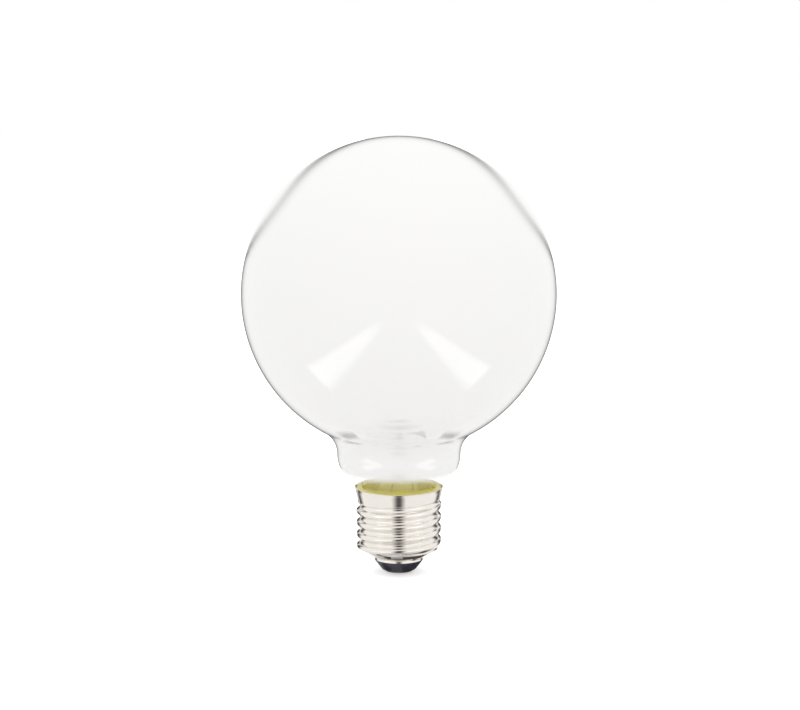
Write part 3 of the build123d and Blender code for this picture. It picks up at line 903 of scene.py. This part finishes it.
def strip_place(side, a, b):
    """Where these shares of the strip's width and length are, in metres."""
    x = side * (strip_gap + strip_width * a)
    y = -strip_start - strip_length * b
    return (x * MM, y * MM, strip_height * MM)


for name, side in (("left", -1), ("right", 1)):
    places = [[strip_place(side, a, b) for a in across] for b in along]
    glows = [[strip_glow(a, b) for a in across] for b in along]
    graded_card(f"bright_strip_{name}", places, glows, bright_strip)

# %% Stand the dark cards, with soft edges
dark_card = card_finish("dark_card", 0.08, (1.0, 0.84, 0.72))
soft_card = graded_finish("soft_card", (1.0, 0.97, 0.95))


def upright(name, start, end, top, darkest):
    """A card on the line from start to end, up to top, in millimetres, with soft sides and top."""
    foot = card_height / MM
    rows = []
    levels = []
    for up in across:
        z = foot + (top - foot) * up
        places = [Vector((*start, z)).lerp(Vector((*end, z)), a) * MM for a in across]
        depths = [soft_edge(a, 0.4) * min(1, (1 - up) / 0.4) for a in across]
        rows.append(places)
        levels.append([1 - (1 - darkest) * depth for depth in depths])
    graded_card(name, rows, levels, soft_card)


for name, side in (("left", -1), ("right", 1)):
    upright(f"dark_flag_{name}", (side * 29.5, 5.0), (side * 21.5, 20.5), top=26, darkest=0.02)
upright("middle_card", (-9, -30), (9, -30), top=32, darkest=0.08)

# %% Lay the dark cards on the floor, in millimetres
foot_width = 36
foot_start = 13
foot_depth = 11
foot_height_above = 0.4


def foot_place(a, b):
    """Where these shares of the foot card's width and depth are, in metres."""
    return ((a - 0.5) * foot_width * MM, -(foot_start + foot_depth * b) * MM, foot_height_above * MM)


foot_places = [[foot_place(a, b) for a in across] for b in across]
foot_glows = [[1 - 0.92 * soft_edge(a, 0.5) * soft_edge(b, 0.3) for a in across] for b in across]
graded_card("foot_card", foot_places, foot_glows, soft_card)
# Painted shadow: these two patches darken the floor just under the bulb, where the contact shadow
# falls, as the cap mirrors it.
floor_card("painted_shadow_patch", 1.5, -9, 16, 9, dark_card)
floor_card("small_painted_shadow_patch", -9, -6.5, -3, -2.5, dark_card)

# %% [markdown]
# ## The dark ring that draws the globe's rim
#
# At its rim the glass mirrors what stands just behind it. A card that follows those mirrored rays
# is easy to place: from each point of the rim, rays fan out backwards, and the card's mesh is where
# they meet a wall behind the bulb or the floor. Each point stores how bright the card is there. It
# is dark for the rays that turn least, which draws the thin line. High up on both sides the dark
# moves inwards and turns grey, as below a large window.

# %% Trace the rim's rays to the wall and the floor
camera_elevation = radians(8.75)
globe_middle = Vector((0, 0, globe_height))
into_scene = Vector((0, cos(camera_elevation), -sin(camera_elevation)))
upwards = Vector((0, sin(camera_elevation), cos(camera_elevation)))
wall_place = 300 * MM


def rim_ray(turn, fan):
    """Where the ray from this turn of the rim, fanned out by this angle, meets wall or floor."""
    outwards = Vector((cos(turn), 0, 0)) + upwards * sin(turn)
    origin = globe_middle + outwards * globe_radius
    heading = into_scene * cos(fan) + outwards * sin(fan)
    length = (wall_place - origin.y) / heading.y
    if heading.z < 0:
        length = min(length, (card_height - origin.z) / heading.z)
    return origin + heading * length


# %% Say how dark the ring is
lift_start = 14
lift_skew = 0.6
outline_width = 9
ring_depth = 0.95


def bell(offset, width):
    """1 in the middle, and less the further off it is."""
    return exp(-((offset / width) ** 2))


def ring_glow(turn, fan):
    """How bright the ring is there, with both angles in degrees."""
    lean = min(turn, 180 - turn)
    share = max(0, (lean - lift_start) / (90 - lift_start))
    lifted = sin(pi * share**lift_skew) ** 2
    darkest = 8 + 39 * lifted
    inner = bell(fan - darkest, 16 - 7 * lifted) * (1 - 0.2 * lifted)
    outline = bell(fan, outline_width) * (1 - 0.6 * lifted)
    return 1 - ring_depth * max(inner, outline)


# %% Make the ring card
turns = range(0, 360, 3)
fans = range(0, 64, 3)
ring_rows = [[rim_ray(radians(turn), radians(fan)) for turn in turns] for fan in fans]
ring_levels = [[ring_glow(turn, fan) for turn in turns] for fan in fans]
dark_ring = graded_finish("dark_ring", (1, 1, 0.97))
graded_card("dark_ring", ring_rows, ring_levels, dark_ring, closed=True)

# %% [markdown]
# ## The camera
#
# The camera stands 600 mm from the bulb and a little above it, with a long lens, which keeps the
# globe round. Its aim is a point on the bulb's axis a little below the globe's middle.

# %% Place the camera
camera_distance = 600 * MM
aim = Vector((0.35 * MM, 0, 67.44 * MM))
lens = bpy.data.cameras.new("camera")
lens.lens = 89.1
lens.sensor_width = 36
camera = bpy.data.objects.new("camera", lens)
camera.location = aim - into_scene * camera_distance
camera.rotation_euler = into_scene.to_track_quat("-Z", "Y").to_euler()
scene.collection.objects.link(camera)
scene.camera = camera
scene.view_settings.view_transform = "Standard"
print("The camera is", round(camera.location.z / MM), "mm above the floor")
